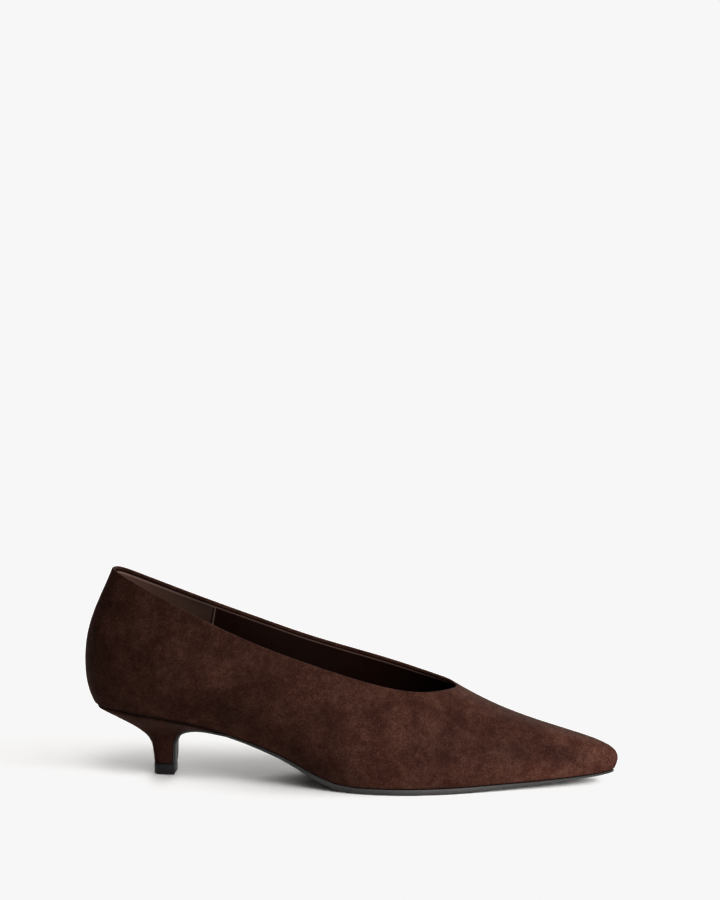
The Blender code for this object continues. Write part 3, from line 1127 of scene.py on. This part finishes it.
@dataclass(frozen=True)
class FloorLight:
    """A wide light that shines on the floor alone, for a pale floor and a soft shadow.

    Attributes:
        name: Its name.
        azimuth_deg: Where it shines from, turned from the lateral side towards the toe.
        height_deg: How high it stands.
        share: Brightness that it gives the open floor.
        spread_deg: Its apparent size.
        colour: Its colour, a hair warm, as the brown shoe tints the light that reaches its shadow.
    """

    name: str
    azimuth_deg: float
    height_deg: float
    share: float
    spread_deg: float = 28.0
    colour: str = "fffefd"

    def build(self, floor: bpy.types.Collection, white: float) -> None:
        """Makes the light.

        Args:
            floor: The collection that it lights.
            white: Reflectance of the floor.
        """
        turn, height = np.radians(self.azimuth_deg), np.radians(self.height_deg)
        shines_from = (np.sin(turn) * np.cos(height), -np.cos(turn) * np.cos(height), np.sin(height))
        lamp = bpy.data.lights.new(self.name, "SUN")
        lamp.energy = np.pi * self.share / (white * np.sin(height))
        lamp.angle = np.radians(self.spread_deg)
        lamp.color = linear(self.colour)[:3]
        light = bpy.data.objects.new(self.name, lamp)
        light.rotation_mode = "QUATERNION"
        light.rotation_quaternion = Vector(shines_from).to_track_quat("Z", "Y")
        light.light_linking.receiver_collection = floor
        bpy.context.scene.collection.objects.link(light)


@dataclass
class Studio:
    """A white floor with its own lights, a white wall round it, and soft boxes round the shoe.

    Attributes:
        floor_half: Half the floor's side in metres.
        wall_radius: Radius of the wall in metres.
        wall_height: Its height in metres, half of it below the floor.
        wall_segments: Its flat faces.
        floor_white: Reflectance of the floor.
        white: The brightest that the picture shows.
        full: Brightness that shows as that white, which the wall behind also has.
        bend_steps: Steps of the bend between them.
        room: Red, green and blue of the room's own light, warmed by the brown shoe.
        floor_lights: The lights on the floor, which together light it past the picture's white.
        boxes: The soft boxes: one in front, one by the toe, one above, one behind and one by the heel.
    """

    floor_half: float = 8.0
    wall_radius: float = 7.6
    wall_height: float = 8.0
    wall_segments: int = 96
    floor_white: float = 0.95
    white: float = 0.93
    full: float = 1.0
    bend_steps: int = 6
    room: tuple[float, float, float] = (0.07, 0.06, 0.05)
    # Of each light: azimuth, height and share.
    floor_lights: tuple[FloorLight, ...] = (
        FloorLight("high_light", 0.0, 70.0, 0.22),
        FloorLight("back_light", 180.0, 25.0, 0.23),
        FloorLight("front_toe_light", 60.0, 25.0, 0.35),
        FloorLight("toe_side_light", 90.0, 25.0, 0.29),
        FloorLight("back_heel_light", -120.0, 40.0, 0.12),
        FloorLight("front_light", 30.0, 25.0, 0.08),
    )
    # Of each box: place and power.
    boxes: tuple[SoftBox, ...] = (
        SoftBox("front_box", (0.15, -0.30, 0.10), 0.67),
        SoftBox("toe_box", (0.28, -0.15, 0.08), 0.52),
        SoftBox("top_box", (0.10, -0.15, 0.35), 0.15),
        SoftBox("back_box", (0.05, 0.50, 0.30), 1.3),
        SoftBox("heel_box", (-0.42, -0.22, 0.03), 0.09),
    )

    def sheet(self, name: str, material: bpy.types.Material, mesh: bmesh.types.BMesh) -> bpy.types.Object:
        """Makes one sheet of the stage.

        Args:
            name: Its name.
            material: Its material.
            mesh: Its form.

        Returns:
            The sheet.
        """
        data = bpy.data.meshes.new(name)
        mesh.to_mesh(data)
        mesh.free()
        data.materials.append(material)
        sheet = bpy.data.objects.new(name, data)
        stage = bpy.data.collections.new(name)
        stage.objects.link(sheet)
        bpy.context.scene.collection.children.link(stage)
        return sheet

    def bend_to_white(self) -> None:
        """Bends the brightest tones over to the picture's white, so that faint shadows fade out."""
        view = bpy.context.scene.view_settings
        view.view_transform = "Standard"
        view.use_curve_mapping = True
        view.curve_mapping.extend = "HORIZONTAL"
        line = view.curve_mapping.curves[COMBINED_CURVE]
        line.points[-1].location = (self.full, self.white)
        knee = 2 * self.white - self.full
        for level in np.linspace(knee, self.full, self.bend_steps + 1)[:-1]:
            line.points.new(level, level - (level - knee) ** 2 / (2 * (self.full - knee)))
        for point in line.points:
            point.handle_type = "VECTOR"
        view.curve_mapping.update()

    def build(self, shoe: bpy.types.Collection) -> None:
        """Builds the floor, the backdrop and the lights.

        Args:
            shoe: The pieces of the shoe.
        """
        # To the eye: an even white ground without a shine, where nothing shows but the shoe's shadow.
        white, _, shader = new_material("white_floor_paper")
        shader.inputs["Base Color"].default_value = (self.floor_white,) * 3 + (1.0,)
        shader.inputs["Roughness"].default_value = 1.0
        shader.inputs["Specular IOR Level"].default_value = 0.0
        flat = bmesh.new()
        bmesh.ops.create_grid(flat, x_segments=1, y_segments=1, size=self.floor_half)
        floor = self.sheet("floor", white, flat)
        floor.visible_diffuse = False

        # To the eye: the same white behind the shoe, with no line where the floor ends.
        glow, _, shader = new_material("white_backdrop")
        shader.inputs["Base Color"].default_value = (0.0, 0.0, 0.0, 1.0)
        shader.inputs["Specular IOR Level"].default_value = 0.0
        shader.inputs["Emission Color"].default_value = (1.0, 1.0, 1.0, 1.0)
        shader.inputs["Emission Strength"].default_value = self.full
        tube = bmesh.new()
        bmesh.ops.create_cone(
            tube,
            segments=self.wall_segments,
            radius1=self.wall_radius,
            radius2=self.wall_radius,
            depth=self.wall_height,
        )
        backdrop = self.sheet("backdrop", glow, tube)
        backdrop.visible_diffuse = False
        backdrop.visible_glossy = False
        backdrop.visible_shadow = False

        for light in self.floor_lights:
            light.build(floor.users_collection[0], self.floor_white)
        for box in self.boxes:
            box.build(shoe)

        world = bpy.data.worlds.new("studio_room")
        world.use_nodes = True
        world.node_tree.nodes["Background"].inputs["Color"].default_value = (*self.room, 1.0)
        bpy.context.scene.world = world
        self.bend_to_white()


def main() -> None:
    """Builds the shoe's pieces in order, then the studio and the camera."""
    logging.basicConfig(level=logging.INFO, format="%(message)s")
    wall = Wall.read(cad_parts["upper"])
    SuedeUpper().build(wall)
    Linings().build(wall)
    # The sock is a shade darker than the heel's lining, the sole a worn charcoal that shows as a thin
    # grey line under the suede, and the lift nearly black and dull.
    sock = Leather("sock_leather", "3d2b23", "4b372d")
    sole = Rubber("charcoal_sole_rubber", "3a3938", "474543")
    lift = Rubber("black_lift_rubber", "1d1c1d", "272526", gloss=0.15)
    SoftenedNode("insole", "sock", "sock", sock, edge_mm=0.5).build()
    # Painted shade and a painted highlight on the sole: darker on the heel's breast flap, along the
    # waist, along the lower edge and at the toe's tip, paler along the top edge at the ball.
    edges = (
        TonePatch(-87, 16, 16, 9, 90, -0.8, None),
        TonePatch(-46, 23, 32, 12, -27, -0.85, None),
        TonePatch(45, 0, 200, 1.3, 0, -0.6, None),
        TonePatch(46, 2.9, 32, 0.5, 0, 0.6, None),
        TonePatch(120, 6, 22, 4, 0, -0.25, None),
        TonePatch(130, 7, 7, 3, 0, -0.4, None),
    )
    SoftenedNode("outsole", "sole", "sole", sole, edge_mm=0.45, patches=edges).build()
    # The cover is suede a little darker and plainer than the upper's.
    cover = Suede("heel_suede", "2c1813", "482921")
    # Painted shade: dark lines along the seam between the heel and the upper, and a darker patch just
    # below it.
    seam = (
        TonePatch(-106, 34.0, 16, 0.7, -7, -0.6, None),
        TonePatch(-78, 29.6, 16, 0.7, -12.5, -0.6, None),
        TonePatch(-78, 25.5, 9, 4, -10, -0.25, None),
    )
    SoftenedNode("heel", "heel_cover", "heel_cover", cover, edge_mm=0.8, patches=seam).build()
    SoftenedNode("top_lift", "lift", "lift", lift, edge_mm=0.2).build()
    Studio().build(SHOE)
    PhotoCamera().build()


if __name__ == "__main__":
    main()
